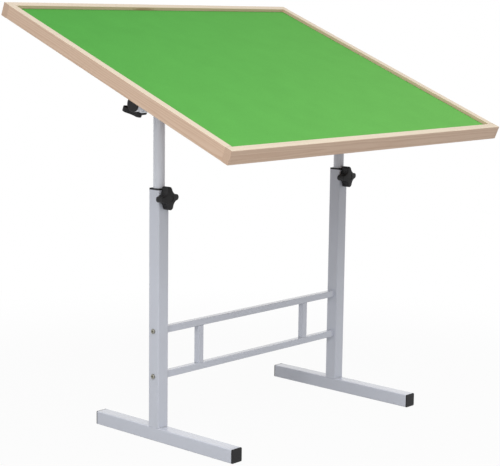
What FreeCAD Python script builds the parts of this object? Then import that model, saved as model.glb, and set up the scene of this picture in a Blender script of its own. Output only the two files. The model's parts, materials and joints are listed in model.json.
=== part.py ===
import FreeCAD
import Part
import math
import os

# Tilting jigsaw table on two telescopic T legs, in millimetres.
# +X is the user's right, +Y the back and +Z up. The origin is on the floor, under the middle of the table.
# The board's pieces are drawn flat, with the tilt axis at the origin, and then tilted into place.

Vector = FreeCAD.Vector
RIGHT = Vector(1, 0, 0)
BACK = Vector(0, 1, 0)
FRONT = Vector(0, -1, 0)
UP = Vector(0, 0, 1)
DOWN = Vector(0, 0, -1)
SIDES = {"left": -1, "right": 1}
ENDS = {"front": -1, "back": 1}

# The table as a whole
board_width = 910.0
board_depth = 722.0
tilt_angle = 22.0
pivot_height = 728.0
post_inset = 153.0
post_top_height = 546.0
foot_front_reach = 230.0
foot_back_reach = 180.0
lowering_travel = 120.0

# Square leg tube, used for the feet and the posts
leg_size = 30.0
leg_wall = 1.5
leg_corner = 2.5
inner_corner_share = 0.4

# Plastic foot caps
cap_face = 3.0
cap_edge = 1.2
cap_plug_length = 16.0
cap_plug_wall = 2.0
plug_fit = 0.1

# Telescopic tube, its bushing in the post and its guide at the lower end
inner_diameter = 25.0
inner_wall = 1.5
running_fit = 0.1
bushing_flange = 3.5
bushing_edge = 0.8
bushing_length = 40.0
guide_flange = 4.0
guide_gap = 0.3
guide_stop_gap = 1.5
guide_plug_length = 15.0
guide_plug_wall = 2.0

# Cross tube that the board tilts on
cross_diameter = 32.0
cross_wall = 1.5
cross_overhang = 23.0
cross_cap_face = 3.0
cross_cap_edge = 1.0
cross_plug_length = 14.0

# Brace between the posts
brace_size = 15.0
brace_wall = 1.2
brace_corner = 1.6
brace_upper_height = 242.0
brace_lower_height = 143.0
brace_upright_inset = 124.5
brace_plug_length = 18.0
bolt_diameter = 6.0
bolt_clearance = 0.2
bolt_engagement = 14.0
bolt_head_diameter = 10.5
bolt_head_height = 3.3
bolt_head_round = 1.6
bolt_socket_flats = 4.0
bolt_socket_depth = 2.0

# Threaded studs of the knobs, and the nut welded under each height knob
stud_diameter = 8.0
stud_hole_clearance = 0.25
stud_tip_gap = 0.3
stud_end_gap = 2.0
thread_clearance = 0.05
nut_flats = 13.0
nut_height = 6.5
height_knob_drop = 16.5

# Four-lobed star knobs: deep ones that lock the height, and wider, flatter ones that lock the tilt
knob_lobes = 4
height_knob_radius = 25.0
height_knob_thickness = 21.0
tilt_knob_radius = 28.0
tilt_knob_thickness = 13.0
knob_lobe_share = 0.26
knob_waist_share = 0.58
knob_crown = 3.0
knob_edge = 1.5
knob_dish_radius = 7.0
knob_dish_depth = 1.2
knob_wall = 2.4
knob_top = 3.0
knob_hub_radius = 9.0
knob_rib = 1.6
knob_rib_recess = 2.0
knob_skirt_gap = 1.5
knob_face_gap = 0.3
tilt_knob_neck = 12.0
height_knob_turn = 5.0
tilt_knob_turn = 20.0

# Board frame, panel, felt and bearers
rail_thickness = 18.0
rail_height = 30.0
rail_edge = 1.0
lip_recess = 7.0
felt_thickness = 1.5
felt_clearance = 0.3
panel_thickness = 5.0
panel_clearance = 0.3
groove_depth = 6.0
dowel_diameter = 8.0
dowel_in_rail = 11.0
dowel_in_side = 20.0
bearer_width = 60.0
bearer_inset = 69.0
bearer_drop = 22.0
bearer_bevel = 60.0
axis_setback = 10.5

# Tube clamps under the board
clamp_width = 30.0
clamp_length = 96.0
clamp_corner = 6.0
clamp_sheet = 2.5
clamp_gap = 0.3
clamp_stud_offset = 27.0
clamp_ear_reach = 40.0
clamp_heel_offset = 22.0
clamp_tab_width = 14.0
clamp_tab_gap = 0.3
clamp_bend = 2.0
clamp_flat_drop = 6.0
washer_diameter = 18.0
washer_thickness = 1.5
screw_head_diameter = 8.0
screw_head_height = 2.2
screw_shank_diameter = 3.6
screw_length = 14.0
screw_point = 4.0
screw_inset = 8.0
tee_barrel_diameter = 10.4
tee_barrel_length = 10.0
tee_flange_diameter = 20.0
tee_flange = 1.4

# How far a cutter passes the face that it cuts, and how near an edge lies to a line that it is picked by
overrun = 5.0
pick_tolerance = 0.01

# Sizes that follow from the ones above
post_spacing = board_width - 2 * post_inset
brace_upright_spacing = post_spacing - 2 * brace_upright_inset
leg_bore = leg_size - 2 * leg_wall
bore_corner = max(leg_corner - leg_wall, leg_corner * inner_corner_share)
inner_radius = inner_diameter / 2
cross_radius = cross_diameter / 2
stud_radius = stud_diameter / 2
bolt_radius = bolt_diameter / 2
stud_height = post_top_height - height_knob_drop
clamp_bore = cross_radius + clamp_gap
bearer_under = clamp_bore + clamp_sheet
board_under = bearer_under + bearer_drop
board_top = board_under + rail_height
felt_under = board_top - lip_recess - felt_thickness
panel_under = felt_under - panel_thickness
bearer_thickness = panel_under - bearer_under
inside_width = board_width - 2 * rail_thickness
inside_depth = board_depth - 2 * rail_thickness
washer_under = clamp_flat_drop + clamp_sheet + washer_thickness
clamp_offset = inside_width / 2 - bearer_inset - bearer_width / 2
cross_length = 2 * (clamp_offset + clamp_width / 2 + cross_overhang)

# Fully lowered, the guide under the telescopic tube stops just above the brace's upper bolt.
guide_under = brace_upper_height + bolt_radius + guide_stop_gap + lowering_travel
inner_under = guide_under + guide_flange
inner_length = pivot_height - inner_under

# The board's middle lies a little up the slope from the tilt axis. The tilted board reaches furthest front
# with its lip and furthest back with its underside.
tilt = math.radians(tilt_angle)
board_front = (axis_setback - board_depth / 2) * math.cos(tilt) - board_top * math.sin(tilt)
board_back = (axis_setback + board_depth / 2) * math.cos(tilt) - board_under * math.sin(tilt)
centre_shift = Vector(0, -(board_front + board_back) / 2, 0)


# Shapes used by many pieces

def rounded_rectangle(width, depth, radius):
    """Closed outline in the XY plane, centred on the origin, with four round corners."""
    x = width / 2
    y = depth / 2
    near = radius * (1 - math.sqrt(0.5))
    edges = []
    for sx, sy in ((1, 1), (-1, 1), (-1, -1), (1, -1)):
        along_x = Vector(sx * (x - radius), sy * y, 0)
        along_y = Vector(sx * x, sy * (y - radius), 0)
        middle = Vector(sx * (x - near), sy * (y - near), 0)
        start, end = (along_y, along_x) if sx * sy > 0 else (along_x, along_y)
        edges.append((start, middle, end))
    outline = []
    for index, (start, middle, end) in enumerate(edges):
        following = edges[(index + 1) % len(edges)][0]
        outline.append(Part.Arc(start, middle, end).toShape())
        outline.append(Part.LineSegment(end, following).toShape())
    return Part.Wire(outline)


def prism(outline, height):
    """Solid of an outline in the XY plane, raised by the height."""
    return Part.Face(outline).extrude(UP * height)


def block(width, depth, height, corner):
    """Box with its lowest corner at the given place."""
    return Part.makeBox(width, depth, height, corner)


def square_tube(size, wall, corner, length):
    """Hollow square tube standing on the XY plane, centred on the Z axis."""
    bore = size - 2 * wall
    bore_radius = max(corner - wall, corner * inner_corner_share)
    outside = prism(rounded_rectangle(size, size, corner), length)
    return outside.cut(prism(rounded_rectangle(bore, bore, bore_radius), length))


def round_tube(radius, wall, length):
    """Hollow round tube standing on the XY plane, centred on the Z axis."""
    return Part.makeCylinder(radius, length).cut(Part.makeCylinder(radius - wall, length))


def hexagon(flats):
    """Closed hexagon in the XY plane, measured across its flats."""
    corner = flats / math.sqrt(3)
    angles = [math.radians(60 * step) for step in range(7)]
    return Part.makePolygon([Vector(corner * math.cos(a), corner * math.sin(a), 0) for a in angles])


def placed(shape, position, direction=UP, turn=0):
    """The shape, turned about its own Z axis, with that axis along the direction, moved to the position."""
    spin = FreeCAD.Rotation(UP, turn)
    aim = FreeCAD.Rotation(UP, direction)
    result = shape.copy()
    result.Placement = FreeCAD.Placement(position, aim.multiply(spin))
    return result


def tilted(shape):
    """A board piece drawn flat about the tilt axis, turned to the resting tilt and lifted to the pivot."""
    result = shape.copy()
    result.rotate(Vector(0, 0, 0), RIGHT, tilt_angle)
    result.translate(UP * pivot_height)
    return result


def top_edges(shape, height):
    """Edges that lie wholly in the level plane at the height."""
    return [edge for edge in shape.Edges if all(abs(v.Z - height) < pick_tolerance for v in edge.Vertexes)]


def edges_along_x(shape, y, z):
    """Edges that run along X through the given Y and Z."""
    found = []
    for edge in shape.Edges:
        ends = edge.Vertexes
        on_line = all(abs(v.Y - y) < pick_tolerance and abs(v.Z - z) < pick_tolerance for v in ends)
        if len(ends) == 2 and on_line:
            found.append(edge)
    return found


# Base

def post_place(side):
    return RIGHT * (side * post_spacing / 2)


def foot_tube(side):
    tube = square_tube(leg_size, leg_wall, leg_corner, foot_front_reach + foot_back_reach)
    return placed(tube, post_place(side) + FRONT * foot_front_reach + UP * (leg_size / 2), BACK)


def foot_cap(side, end):
    """Face plate with a rounded rim, and a hollow plug that pushes into the tube."""
    plug_size = leg_bore - 2 * plug_fit
    face = prism(rounded_rectangle(leg_size, leg_size, leg_corner), cap_face)
    face = face.makeFillet(cap_edge, top_edges(face, cap_face))
    plug = square_tube(plug_size, cap_plug_wall, bore_corner, cap_plug_length)
    plug.translate(DOWN * cap_plug_length)
    reach = foot_back_reach if end > 0 else foot_front_reach
    position = post_place(side) + BACK * (end * reach) + UP * (leg_size / 2)
    return placed(face.fuse(plug).removeSplitter(), position, BACK * end)


def stud_cutter(side):
    """Clearance hole for a height stud, from the post's axis out through its front wall."""
    start = post_place(side) + UP * stud_height
    return Part.makeCylinder(stud_radius + stud_hole_clearance, leg_size / 2 + overrun, start, FRONT)


def post(side):
    tube = placed(square_tube(leg_size, leg_wall, leg_corner, post_top_height - leg_size),
                  post_place(side) + UP * leg_size)
    tube = tube.cut(stud_cutter(side))
    for height in (brace_lower_height, brace_upper_height):
        start = post_place(side) + RIGHT * (-leg_size / 2 - overrun) + UP * height
        tube = tube.cut(Part.makeCylinder(bolt_radius + bolt_clearance, leg_size + 2 * overrun, start, RIGHT))
    return tube


def post_bushing(side):
    """Square rim on top of the post, with a sleeve inside it that the round tube slides through."""
    sleeve_size = leg_bore - 2 * plug_fit
    rim = prism(rounded_rectangle(leg_size, leg_size, leg_corner), bushing_flange)
    rim = rim.makeFillet(bushing_edge, top_edges(rim, bushing_flange))
    sleeve = prism(rounded_rectangle(sleeve_size, sleeve_size, bore_corner), bushing_length)
    sleeve.translate(DOWN * bushing_length)
    bore = Part.makeCylinder(inner_radius + running_fit, bushing_length + bushing_flange + 2 * overrun,
                             DOWN * (bushing_length + overrun))
    bushing = rim.fuse(sleeve).removeSplitter().cut(bore)
    return placed(bushing, post_place(side) + UP * post_top_height).cut(stud_cutter(side))


def weld_nut(side):
    nut = prism(hexagon(nut_flats), nut_height)
    nut = nut.cut(Part.makeCylinder(stud_radius + thread_clearance, nut_height))
    return placed(nut, post_place(side) + FRONT * (leg_size / 2) + UP * stud_height, FRONT)


def brace_bar(height):
    length = post_spacing - leg_size
    tube = square_tube(brace_size, brace_wall, brace_corner, length)
    return placed(tube, RIGHT * (-length / 2) + UP * height, RIGHT)


def brace_upright(side):
    length = brace_upper_height - brace_lower_height - brace_size
    tube = square_tube(brace_size, brace_wall, brace_corner, length)
    low = UP * (brace_lower_height + brace_size / 2)
    return placed(tube, RIGHT * (side * brace_upright_spacing / 2) + low)


def brace_plug(side, height):
    """Threaded block inside the end of a bar, flush with the bar's end."""
    size = brace_size - 2 * brace_wall - 2 * plug_fit
    plug = prism(rounded_rectangle(size, size, brace_corner * inner_corner_share), brace_plug_length)
    plug = plug.cut(Part.makeCylinder(bolt_radius + thread_clearance, brace_plug_length))
    end = RIGHT * (side * (post_spacing - leg_size) / 2)
    return placed(plug, end + UP * height, RIGHT * -side)


def brace_bolt(side, height):
    """Button-headed socket screw, with its head on the outer face of the post."""
    head = Part.makeCylinder(bolt_head_diameter / 2, bolt_head_height)
    head = head.makeFillet(bolt_head_round, top_edges(head, bolt_head_height))
    socket = prism(hexagon(bolt_socket_flats), bolt_socket_depth)
    socket.translate(UP * (bolt_head_height - bolt_socket_depth))
    shank_length = leg_size + bolt_engagement
    shank = Part.makeCylinder(bolt_radius, shank_length, DOWN * shank_length)
    face = RIGHT * (side * (post_spacing + leg_size) / 2)
    return placed(head.cut(socket).fuse(shank).removeSplitter(), face + UP * height, RIGHT * side)


# Riser

def inner_tube(side):
    """Telescopic tube, its top coped to seat against the cross tube."""
    tube = round_tube(inner_radius, inner_wall, inner_length)
    tube.translate(post_place(side) + UP * inner_under)
    start = post_place(side) + RIGHT * -leg_size + UP * pivot_height
    return tube.cut(Part.makeCylinder(cross_radius, 2 * leg_size, start, RIGHT))


def tube_guide(side):
    """Square flange that runs inside the post, and a plug that holds it in the tube's lower end."""
    size = leg_bore - 2 * guide_gap
    flange = prism(rounded_rectangle(size, size, bore_corner), guide_flange)
    flange.translate(DOWN * guide_flange)
    plug = Part.makeCylinder(inner_radius - inner_wall - plug_fit, guide_plug_length)
    hollow_length = guide_plug_length + guide_flange
    hollow = Part.makeCylinder(inner_radius - inner_wall - plug_fit - guide_plug_wall, hollow_length,
                               DOWN * guide_flange)
    guide = flange.fuse(plug).removeSplitter().cut(hollow)
    return placed(guide, post_place(side) + UP * inner_under)


def cross_tube():
    tube = round_tube(cross_radius, cross_wall, cross_length)
    return placed(tube, RIGHT * (-cross_length / 2) + UP * pivot_height, RIGHT)


def cross_tube_cap(side):
    face = Part.makeCylinder(cross_radius, cross_cap_face)
    face = face.makeFillet(cross_cap_edge, top_edges(face, cross_cap_face))
    plug = round_tube(cross_radius - cross_wall - plug_fit, cap_plug_wall, cross_plug_length)
    plug.translate(DOWN * cross_plug_length)
    position = RIGHT * (side * cross_length / 2) + UP * pivot_height
    return placed(face.fuse(plug).removeSplitter(), position, RIGHT * side)


# Board frame, drawn flat about its own middle

def panel_block(clearance):
    """The base panel, which reaches into the rails' grooves, smaller by a clearance on each edge."""
    width = inside_width + 2 * (groove_depth - clearance)
    depth = inside_depth + 2 * (groove_depth - clearance)
    return block(width, depth, panel_thickness, Vector(-width / 2, -depth / 2, panel_under))


def dowel(side, end):
    """Corner dowel, half in the long rail and half in the end of the side rail."""
    height = (board_under + panel_under) / 2
    x = side * (board_width - rail_thickness) / 2
    start = Vector(x, end * (inside_depth / 2 + dowel_in_rail), height)
    return Part.makeCylinder(dowel_diameter / 2, dowel_in_rail + dowel_in_side, start, BACK * -end)


def corner_dowels():
    return Part.makeCompound([dowel(side, end) for side in SIDES.values() for end in ENDS.values()])


def eased_bar(length, width, height):
    """Bar along X, centred on it, standing on the XY plane, with its long edges eased."""
    section = rounded_rectangle(height, width, rail_edge)
    bar = placed(prism(section, length), RIGHT * (-length / 2), RIGHT)
    bar.translate(UP * (height / 2))
    return bar


def long_rail(end):
    """Front or back rail, the full width of the board, grooved for the panel."""
    bar = eased_bar(board_width, rail_thickness, rail_height)
    bar.translate(Vector(0, end * (board_depth - rail_thickness) / 2, board_under))
    return bar.cut(panel_block(0)).cut(corner_dowels())


def side_rail(side):
    """Left or right rail, fitted between the long rails, grooved for the panel."""
    bar = eased_bar(inside_depth, rail_thickness, rail_height)
    bar.rotate(Vector(0, 0, 0), UP, 90)
    bar.translate(Vector(side * (board_width - rail_thickness) / 2, 0, board_under))
    return bar.cut(panel_block(0)).cut(corner_dowels())


def felt_sheet():
    width = inside_width - 2 * felt_clearance
    depth = inside_depth - 2 * felt_clearance
    return block(width, depth, felt_thickness, Vector(-width / 2, -depth / 2, felt_under))


# Bearers and tube clamps, drawn flat about the tilt axis

def clamp_place(side):
    return RIGHT * (side * clamp_offset)


def clamp_stud_place(side):
    return clamp_place(side) + BACK * clamp_stud_offset


def clamp_screw():
    """Countersunk wood screw pointing up, its head's flat face on the XY plane."""
    shank = screw_shank_diameter / 2
    points = [Vector(0, 0, 0),
              Vector(screw_head_diameter / 2, 0, 0),
              Vector(shank, 0, screw_head_height),
              Vector(shank, 0, screw_length - screw_point),
              Vector(0, 0, screw_length),
              Vector(0, 0, 0)]
    return Part.Face(Part.makePolygon(points)).revolve(Vector(0, 0, 0), UP, 360)


def clamp_screws(side):
    """Four screws that hold one clamp plate to its bearer."""
    x = clamp_width / 2 - screw_inset
    y = clamp_length / 2 - screw_inset
    places = [Vector(sx * x, sy * y, clamp_bore) for sx in SIDES.values() for sy in ENDS.values()]
    return [placed(clamp_screw(), clamp_place(side) + place) for place in places]


def tee_nut(side):
    """Flanged threaded sleeve, let into the bearer from above."""
    flange = Part.makeCylinder(tee_flange_diameter / 2, tee_flange, DOWN * tee_flange)
    barrel = Part.makeCylinder(tee_barrel_diameter / 2, tee_barrel_length, DOWN * tee_barrel_length)
    thread = Part.makeCylinder(stud_radius + thread_clearance, tee_barrel_length, DOWN * tee_barrel_length)
    nut = flange.fuse(barrel).removeSplitter().cut(thread)
    return placed(nut, clamp_stud_place(side) + UP * panel_under)


def tee_seat(side):
    """Stepped hole in the bearer that the tee nut fills, open below for the stud."""
    flange = Part.makeCylinder(tee_flange_diameter / 2, tee_flange, DOWN * tee_flange)
    hole = Part.makeCylinder(tee_barrel_diameter / 2, bearer_thickness, DOWN * bearer_thickness)
    return placed(flange.fuse(hole).removeSplitter(), clamp_stud_place(side) + UP * panel_under)


def bevel_cutter(side, end):
    """Wedge below one end of a bearer, whose underside slopes up there to the rails' underside."""
    tip = axis_setback + end * inside_depth / 2
    outline = Part.makePolygon([Vector(0, tip, bearer_under),
                                Vector(0, tip, board_under),
                                Vector(0, tip - end * bearer_bevel, bearer_under),
                                Vector(0, tip, bearer_under)])
    wedge = Part.Face(outline).extrude(RIGHT * bearer_width)
    wedge.translate(clamp_place(side) + RIGHT * (-bearer_width / 2))
    return wedge


def bearer(side):
    """Deep bar under the panel, from rail to rail, bevelled at both ends so that it stays out of sight."""
    corner = clamp_place(side) + Vector(-bearer_width / 2, axis_setback - inside_depth / 2, bearer_under)
    bar = block(bearer_width, inside_depth, bearer_thickness, corner)
    return bar.cut([bevel_cutter(side, end) for end in ENDS.values()] + [tee_seat(side)] + clamp_screws(side))


def clamp_stud_hole(side):
    start = clamp_stud_place(side) + DOWN * (clamp_bore + overrun)
    return Part.makeCylinder(stud_radius + stud_hole_clearance, 2 * (clamp_bore + overrun), start)


def clamp_plate(side):
    """Flat plate between the cross tube and the bearer, slotted for the jaw's heel."""
    plate = prism(rounded_rectangle(clamp_width, clamp_length, clamp_corner), clamp_sheet)
    plate = placed(plate, clamp_place(side) + UP * clamp_bore)
    slot_width = clamp_tab_width + 2 * clamp_tab_gap
    slot_front = -clamp_heel_offset - clamp_tab_gap
    slot_corner = clamp_place(side) + Vector(-slot_width / 2, slot_front, clamp_bore - overrun)
    slot = block(slot_width, clamp_sheet + 2 * clamp_tab_gap, clamp_sheet + 2 * overrun, slot_corner)
    return plate.cut([slot, clamp_stud_hole(side)] + clamp_screws(side))


def clamp_jaw(side):
    """Bent strap under the cross tube: heel at the front, round trough, ear for the stud at the back."""
    low = -clamp_flat_drop - clamp_sheet
    x = -clamp_width / 2
    flat_length = clamp_ear_reach + clamp_heel_offset
    flat = block(clamp_width, flat_length, clamp_sheet, Vector(x, -clamp_heel_offset, low))
    heel_height = clamp_flat_drop + clamp_sheet + clamp_bore
    heel = block(clamp_width, clamp_sheet, heel_height, Vector(x, -clamp_heel_offset, low))
    tab = block(clamp_tab_width, clamp_sheet, clamp_sheet,
                Vector(-clamp_tab_width / 2, -clamp_heel_offset, clamp_bore))
    outer_radius = clamp_bore + clamp_sheet
    round_out = Part.makeCylinder(outer_radius, clamp_width, RIGHT * x, RIGHT)
    above = block(clamp_width, 2 * outer_radius, 2 * outer_radius, Vector(x, -outer_radius, -clamp_flat_drop))
    jaw = flat.fuse([heel, tab, round_out.cut(above)]).removeSplitter()
    jaw = jaw.cut(Part.makeCylinder(clamp_bore, clamp_width, RIGHT * x, RIGHT))
    jaw = jaw.makeFillet(clamp_bend, edges_along_x(jaw, -clamp_heel_offset, low))
    jaw.translate(clamp_place(side))
    return jaw.cut(clamp_stud_hole(side))


def clamp_washer(side):
    washer = Part.makeCylinder(washer_diameter / 2, washer_thickness)
    washer = washer.cut(Part.makeCylinder(stud_radius + stud_hole_clearance, washer_thickness))
    return placed(washer, clamp_stud_place(side) + DOWN * washer_under)


# Knobs, drawn with the skirt on the XY plane and the gripping face up

def lobed_outline(reach, lobe_radius, waist_radius):
    """Round lobes joined by hollow arcs that run smoothly into them."""
    step = math.pi / knob_lobes
    centre = reach - lobe_radius
    chord = centre * math.cos(step)
    gap = centre ** 2 - 2 * chord * waist_radius + waist_radius ** 2 - lobe_radius ** 2
    hollow_radius = gap / (2 * (chord - waist_radius + lobe_radius))
    hollow_centre = waist_radius + hollow_radius
    edges = []
    for lobe in range(knob_lobes):
        angle = 2 * step * lobe
        lobe_middle = polar(centre, angle)
        before = polar(hollow_centre, angle - step)
        after = polar(hollow_centre, angle + step)
        share = lobe_radius / (lobe_radius + hollow_radius)
        start = lobe_middle + (before - lobe_middle) * share
        end = lobe_middle + (after - lobe_middle) * share
        following = polar(centre, angle + 2 * step)
        next_start = following + (after - following) * share
        edges.append(Part.Arc(start, polar(reach, angle), end).toShape())
        edges.append(Part.Arc(end, polar(waist_radius, angle + step), next_start).toShape())
    return Part.Wire(edges)


def polar(radius, angle):
    return Vector(radius * math.cos(angle), radius * math.sin(angle), 0)


def stud_seat(thickness):
    """Height of the hollow inside a knob, where its stud ends."""
    return thickness - knob_crown - knob_top


def star_knob(radius, thickness, hub_start):
    """Moulded knob: crowned lobed shell with a dished face, hollow and ribbed below, with a hub that
    starts at the given height."""
    crown_radius = (radius ** 2 + knob_crown ** 2) / (2 * knob_crown)
    crown = Part.makeSphere(crown_radius, UP * (thickness - crown_radius))
    lobe_radius = radius * knob_lobe_share
    waist_radius = radius * knob_waist_share
    outside = prism(lobed_outline(radius, lobe_radius, waist_radius), thickness).common(crown)
    rim = [edge for edge in outside.Edges if edge.BoundBox.ZMin > thickness / 2]
    outside = outside.makeFillet(knob_edge, rim)
    dish_floor = UP * (thickness - knob_dish_depth)
    outside = outside.cut(Part.makeCylinder(knob_dish_radius, knob_dish_depth + overrun, dish_floor))
    ceiling = stud_seat(thickness)
    inside = lobed_outline(radius - knob_wall, lobe_radius - knob_wall, waist_radius - knob_wall)
    rib_length = 2 * (radius - knob_wall)
    rib = block(rib_length, knob_rib, ceiling - knob_rib_recess,
                Vector(-rib_length / 2, -knob_rib / 2, knob_rib_recess))
    cross_rib = rib.copy()
    cross_rib.rotate(Vector(0, 0, 0), UP, 90)
    hub = Part.makeCylinder(knob_hub_radius, ceiling - hub_start, UP * hub_start)
    clear_below = Part.makeCylinder(knob_hub_radius, max(hub_start, 0) + overrun, DOWN * overrun)
    shell = outside.cut(prism(inside, ceiling)).fuse([rib, cross_rib]).cut(clear_below)
    knob = shell.fuse(hub).removeSplitter()
    return knob.cut(Part.makeCylinder(stud_radius, ceiling - hub_start, UP * hub_start))


def height_knob(side):
    """Knob whose hub starts just clear of the weld nut."""
    skirt = post_place(side) + FRONT * (leg_size / 2 + knob_skirt_gap) + UP * stud_height
    hub_start = nut_height + knob_face_gap - knob_skirt_gap
    knob = star_knob(height_knob_radius, height_knob_thickness, hub_start)
    return placed(knob, skirt, FRONT, height_knob_turn)


def height_stud(side):
    """Stud from the knob's hub through the nut and the post, to just short of the sliding tube."""
    tip = inner_radius + stud_tip_gap
    length = leg_size / 2 + knob_skirt_gap + stud_seat(height_knob_thickness) - tip
    start = post_place(side) + FRONT * tip + UP * stud_height
    return placed(Part.makeCylinder(stud_radius, length), start, FRONT)


def tilt_knob(side):
    """Knob whose hub stands out as a neck, up to the washer."""
    skirt = clamp_stud_place(side) + DOWN * (washer_under + knob_face_gap + tilt_knob_neck)
    knob = star_knob(tilt_knob_radius, tilt_knob_thickness, -tilt_knob_neck)
    return placed(knob, skirt, DOWN, tilt_knob_turn)


def tilt_stud(side):
    """Stud from the knob's hub up through the jaw, the plate and the tee nut."""
    low = -washer_under - knob_face_gap - tilt_knob_neck - stud_seat(tilt_knob_thickness)
    length = panel_under - stud_end_gap - low
    return placed(Part.makeCylinder(stud_radius, length), clamp_stud_place(side) + UP * low)


# Every piece by name

def base_pieces():
    pieces = {}
    for name, side in SIDES.items():
        pieces["foot_tube_" + name] = foot_tube(side)
        pieces["post_" + name] = post(side)
        pieces["post_bushing_" + name] = post_bushing(side)
        pieces["weld_nut_" + name] = weld_nut(side)
        pieces["brace_upright_" + name] = brace_upright(side)
        for end_name, end in ENDS.items():
            pieces["foot_cap_" + end_name + "_" + name] = foot_cap(side, end)
    heights = (brace_lower_height, brace_upper_height)
    pieces["brace_lower_bar"] = brace_bar(brace_lower_height)
    pieces["brace_upper_bar"] = brace_bar(brace_upper_height)
    pieces["brace_plugs"] = Part.makeCompound([brace_plug(s, h) for s in SIDES.values() for h in heights])
    pieces["brace_bolts"] = Part.makeCompound([brace_bolt(s, h) for s in SIDES.values() for h in heights])
    return pieces


def riser_pieces():
    pieces = {"cross_tube": cross_tube()}
    for name, side in SIDES.items():
        pieces["inner_tube_" + name] = inner_tube(side)
        pieces["tube_guide_" + name] = tube_guide(side)
        pieces["cross_tube_cap_" + name] = cross_tube_cap(side)
    return pieces


def board_pieces():
    pieces = {"base_panel": panel_block(panel_clearance), "felt_sheet": felt_sheet()}
    pieces["corner_dowels"] = corner_dowels()
    for name, end in ENDS.items():
        pieces[name + "_rail"] = long_rail(end)
    for name, side in SIDES.items():
        pieces[name + "_rail"] = side_rail(side)
    for shape in pieces.values():
        shape.translate(BACK * axis_setback)
    screws = []
    for name, side in SIDES.items():
        pieces["bearer_" + name] = bearer(side)
        pieces["clamp_plate_" + name] = clamp_plate(side)
        pieces["clamp_jaw_" + name] = clamp_jaw(side)
        pieces["clamp_washer_" + name] = clamp_washer(side)
        pieces["tee_nut_" + name] = tee_nut(side)
        pieces["tilt_knob_" + name] = tilt_knob(side)
        pieces["tilt_stud_" + name] = tilt_stud(side)
        screws += clamp_screws(side)
    pieces["clamp_screws"] = Part.makeCompound(screws)
    return {name: tilted(shape) for name, shape in pieces.items()}


def height_knob_pieces():
    pieces = {}
    for name, side in SIDES.items():
        pieces["height_knob_" + name] = height_knob(side)
        pieces["height_stud_" + name] = height_stud(side)
    return pieces


def main():
    os.makedirs("parts", exist_ok=True)
    pieces = {**base_pieces(), **riser_pieces(), **board_pieces(), **height_knob_pieces()}
    for name, shape in pieces.items():
        shape.translate(centre_shift)
        shape.exportStep("parts/" + name + ".step")
        state = "valid" if shape.isValid() else "NOT VALID"
        print(name, len(shape.Solids), "solid(s)", state, round(shape.Volume))
    print("tilt axis at y", round(centre_shift.y, 4), "z", pivot_height)


main()
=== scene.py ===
"""Finishes of a tilting jigsaw table: a felt-lined pine tray on telescopic powder-coated steel legs."""

import json
import math

import bmesh
import bpy
from mathutils import Matrix, Vector


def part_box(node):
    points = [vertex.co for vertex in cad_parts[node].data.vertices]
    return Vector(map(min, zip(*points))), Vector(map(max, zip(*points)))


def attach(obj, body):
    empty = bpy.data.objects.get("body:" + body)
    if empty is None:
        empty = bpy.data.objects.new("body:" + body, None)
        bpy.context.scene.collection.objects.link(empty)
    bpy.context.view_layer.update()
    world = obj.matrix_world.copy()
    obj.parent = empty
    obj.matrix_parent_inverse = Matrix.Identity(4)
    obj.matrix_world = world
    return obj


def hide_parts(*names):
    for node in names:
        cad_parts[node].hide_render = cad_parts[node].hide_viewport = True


bl_info = {
    "name": "Tilting Jigsaw Table",
    "version": (1, 0, 0),
    "blender": (4, 5, 0),
    "location": "View3D > Sidebar > Jigsaw Table",
    "description": "Finishes a felt-lined jigsaw board on telescopic steel legs",
    "category": "Object",
}

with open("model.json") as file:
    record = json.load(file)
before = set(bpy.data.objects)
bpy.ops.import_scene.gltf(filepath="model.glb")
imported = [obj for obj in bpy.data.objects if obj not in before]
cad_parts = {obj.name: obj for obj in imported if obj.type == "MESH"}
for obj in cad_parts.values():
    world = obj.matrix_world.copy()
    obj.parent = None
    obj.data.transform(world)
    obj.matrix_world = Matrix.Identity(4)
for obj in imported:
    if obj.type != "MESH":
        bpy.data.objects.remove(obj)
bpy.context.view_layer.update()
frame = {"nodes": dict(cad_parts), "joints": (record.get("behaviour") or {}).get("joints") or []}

MM = 0.001
QUARTER_TURN = math.radians(90)
SIDES = ("left", "right")
WHITE = (1, 1, 1)

# The board's own axes: X across, Y up the slope and Z out of the felt, from the tilt axis
JOINTS = {joint["name"]: joint for joint in frame["joints"]}
TILT_AXIS = Vector(JOINTS["tilt"]["pos_m"])
BOARD_DOWN = Vector(JOINTS["tilt_knob_turn_left"]["axis"])
TILT = math.atan2(BOARD_DOWN.y, -BOARD_DOWN.z)
BOARD = Matrix.Translation(TILT_AXIS) @ Matrix.Rotation(TILT, 4, "X")


def on_both_sides(*names):
    """Names of the left and the right one of each piece."""
    return [name + "_" + side for name in names for side in SIDES]


# Which finish each carried-over piece has
STEEL_NODES = on_both_sides("foot_tube", "post", "brace_upright") + ["brace_lower_bar", "brace_upper_bar"]
# The tubes take a paler copy of the steel coat, painted light that makes up for the board's shade over them.
TUBE_NODES = on_both_sides("inner_tube") + ["cross_tube"]
NYLON_NODES = on_both_sides("foot_cap_front", "foot_cap_back", "post_bushing", "tube_guide",
                            "cross_tube_cap", "height_knob", "tilt_knob")
ZINC_NODES = on_both_sides("clamp_plate", "clamp_jaw", "clamp_washer", "tee_nut",
                           "weld_nut") + ["brace_plugs"]
LONG_GRAIN_NODES = ["front_rail", "back_rail"]
CROSS_GRAIN_NODES = ["left_rail", "right_rail"] + on_both_sides("bearer") + ["corner_dowels"]

# Distance of the tree's middle beside and below the first piece of pine, and the step to each next piece
PITH_ASIDE = 24 * MM
PITH_ASIDE_STEP = 5 * MM
PITH_BELOW = 20 * MM
PITH_BELOW_STEP = 4 * MM

# The tree's middle in the front rail, and the place and size of the back rail's knot, from the rail's middle
FRONT_RAIL_PITH = Vector((0, 1, -2)) * MM
KNOT_PLACE = Vector((-60, -9, 9)) * MM
KNOT_SIZE = Vector((46, 14, 6)) * MM

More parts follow.
